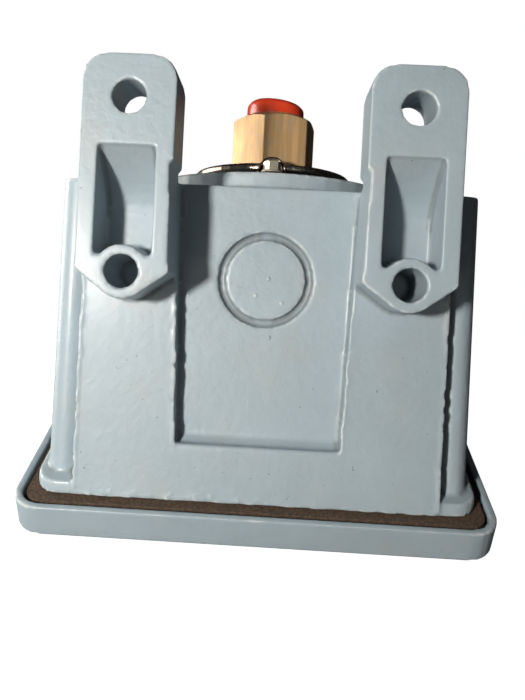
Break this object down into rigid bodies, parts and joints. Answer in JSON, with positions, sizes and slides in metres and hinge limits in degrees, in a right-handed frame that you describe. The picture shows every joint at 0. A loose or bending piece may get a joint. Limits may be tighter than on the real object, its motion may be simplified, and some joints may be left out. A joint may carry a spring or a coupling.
{
  "type": "pressure switch",
  "caption": "Die-cast pressure switch with wall-mounting ears, slanted gasketed cover, hex pressure port with plug, and a lever-worked snap switch inside.",
  "frame": {"origin": "centre of the four-hole mounting pattern, on the plane of the ear faces that meet the wall", "axes": "+X across the back, +Y from the wall into the switch, +Z towards the pressure port"},
  "size_m": [0.1108, 0.101, 0.1133],
  "materials": {
    "paint": "satin epoxy paint with light orange peel",
    "gasket": "matt",
    "zinc_steel": "zinc plated",
    "dark_steel": "dark polished",
    "brass": "brushed, lightly nickelled",
    "red_plastic": "glossy",
    "black_phenolic": "moulded",
    "black_rubber": "matt",
    "ivory_plastic": "matt",
    "fibre_sheet": "matt",
    "green_steel": "green passivated"
  },
  "bodies": {
    "enclosure": {"bracket_screw_front": "zinc_steel", "bracket_screw_rear": "zinc_steel", "chassis": "zinc_steel", "chassis_screw_front": "zinc_steel", "chassis_screw_rear": "zinc_steel", "diaphragm": "zinc_steel", "enclosure_body": "paint", "ground_screw": "green_steel", "insulator_sheet": "fibre_sheet", "lever_pin": "zinc_steel", "lower_plate": "zinc_steel", "pressure_port": "brass", "range_spring": "zinc_steel", "scale_plate": "ivory_plastic", "sensor_base": "zinc_steel", "sensor_flange": "dark_steel", "sensor_o_ring": "black_rubber", "sensor_screw_1": "zinc_steel", "sensor_screw_2": "zinc_steel", "sensor_screw_3": "zinc_steel", "switch_bracket": "zinc_steel", "switch_housing": "black_phenolic", "switch_screw_1": "zinc_steel", "switch_screw_2": "zinc_steel", "terminal_common": "brass", "terminal_normally_closed": "brass", "terminal_normally_open": "brass", "terminal_screw_common": "brass", "terminal_screw_normally_closed": "brass", "terminal_screw_normally_open": "brass"},
    "cover_assembly": {"cover": "paint", "cover_gasket": "gasket", "nameplate": "zinc_steel"},
    "cover_screw_1": {"cover_screw_1": "zinc_steel"},
    "cover_screw_2": {"cover_screw_2": "zinc_steel"},
    "cover_screw_3": {"cover_screw_3": "zinc_steel"},
    "cover_screw_4": {"cover_screw_4": "zinc_steel"},
    "port_plug": {"port_plug": "red_plastic"},
    "plunger": {"plunger": "zinc_steel"},
    "actuator_lever": {"actuator_lever": "zinc_steel"},
    "switch_button": {"switch_button": "red_plastic"},
    "adjusting_screw": {"adjusting_screw": "brass", "retaining_ring": "dark_steel"},
    "spring_seat": {"spring_seat": "brass", "pointer": "red_plastic"}
  },
  "joints": [
    {"name": "cover_lift", "type": "slide", "parent": "enclosure", "child": "cover_assembly", "axis": [0, 0.4226, -0.9063], "range_m": [0, 0.05]},
    {"name": "cover_screw_1_turn", "type": "hinge", "parent": "cover_assembly", "child": "cover_screw_1", "pos_m": [-0.0424, 0.02901, -0.07117], "axis": [0, 0.4226, -0.9063], "continuous": true},
    {"name": "cover_screw_2_turn", "type": "hinge", "parent": "cover_assembly", "child": "cover_screw_2", "pos_m": [0.0424, 0.02901, -0.07117], "axis": [0, 0.4226, -0.9063], "continuous": true},
    {"name": "cover_screw_3_turn", "type": "hinge", "parent": "cover_assembly", "child": "cover_screw_3", "pos_m": [-0.0424, 0.08901, -0.04319], "axis": [0, 0.4226, -0.9063], "continuous": true},
    {"name": "cover_screw_4_turn", "type": "hinge", "parent": "cover_assembly", "child": "cover_screw_4", "pos_m": [0.0424, 0.08901, -0.04319], "axis": [0, 0.4226, -0.9063], "continuous": true},
    {"name": "port_plug_pull", "type": "slide", "parent": "enclosure", "child": "port_plug", "axis": [0, 0, 1], "range_m": [0, 0.02]},
    {"name": "plunger_travel", "type": "slide", "parent": "enclosure", "child": "plunger", "axis": [0, 0, -1], "range_m": [0, 0.0005], "stiffness_N_per_m": 1500, "springref_m": -0.002, "deforming": ["range_spring"]},
    {"name": "lever_swing", "type": "hinge", "parent": "enclosure", "child": "actuator_lever", "pos_m": [-0.016, 0.0535, -0.00489], "axis": [0, 1, 0], "range_deg": [0, 1.8]},
    {"name": "button_travel", "type": "slide", "parent": "enclosure", "child": "switch_button", "axis": [0, 0, -1], "range_m": [0, 0.00122]},
    {"name": "adjusting_screw_turn", "type": "hinge", "parent": "enclosure", "child": "adjusting_screw", "pos_m": [0, 0.0535, -0.03584], "axis": [0, 0, 1], "range_deg": [-1260, 1440]},
    {"name": "spring_seat_travel", "type": "slide", "parent": "enclosure", "child": "spring_seat", "axis": [0, 0, 1], "range_m": [-0.0035, 0.004], "deforming": ["range_spring"]}
  ],
  "couplings": [
    {"joint": "lever_swing", "follows": "plunger_travel", "rad_per_m": 62.5},
    {"joint": "button_travel", "follows": "plunger_travel", "ratio": 2.4219},
    {"joint": "spring_seat_travel", "follows": "adjusting_screw_turn", "m_per_rad": 0.00015915}
  ]
}
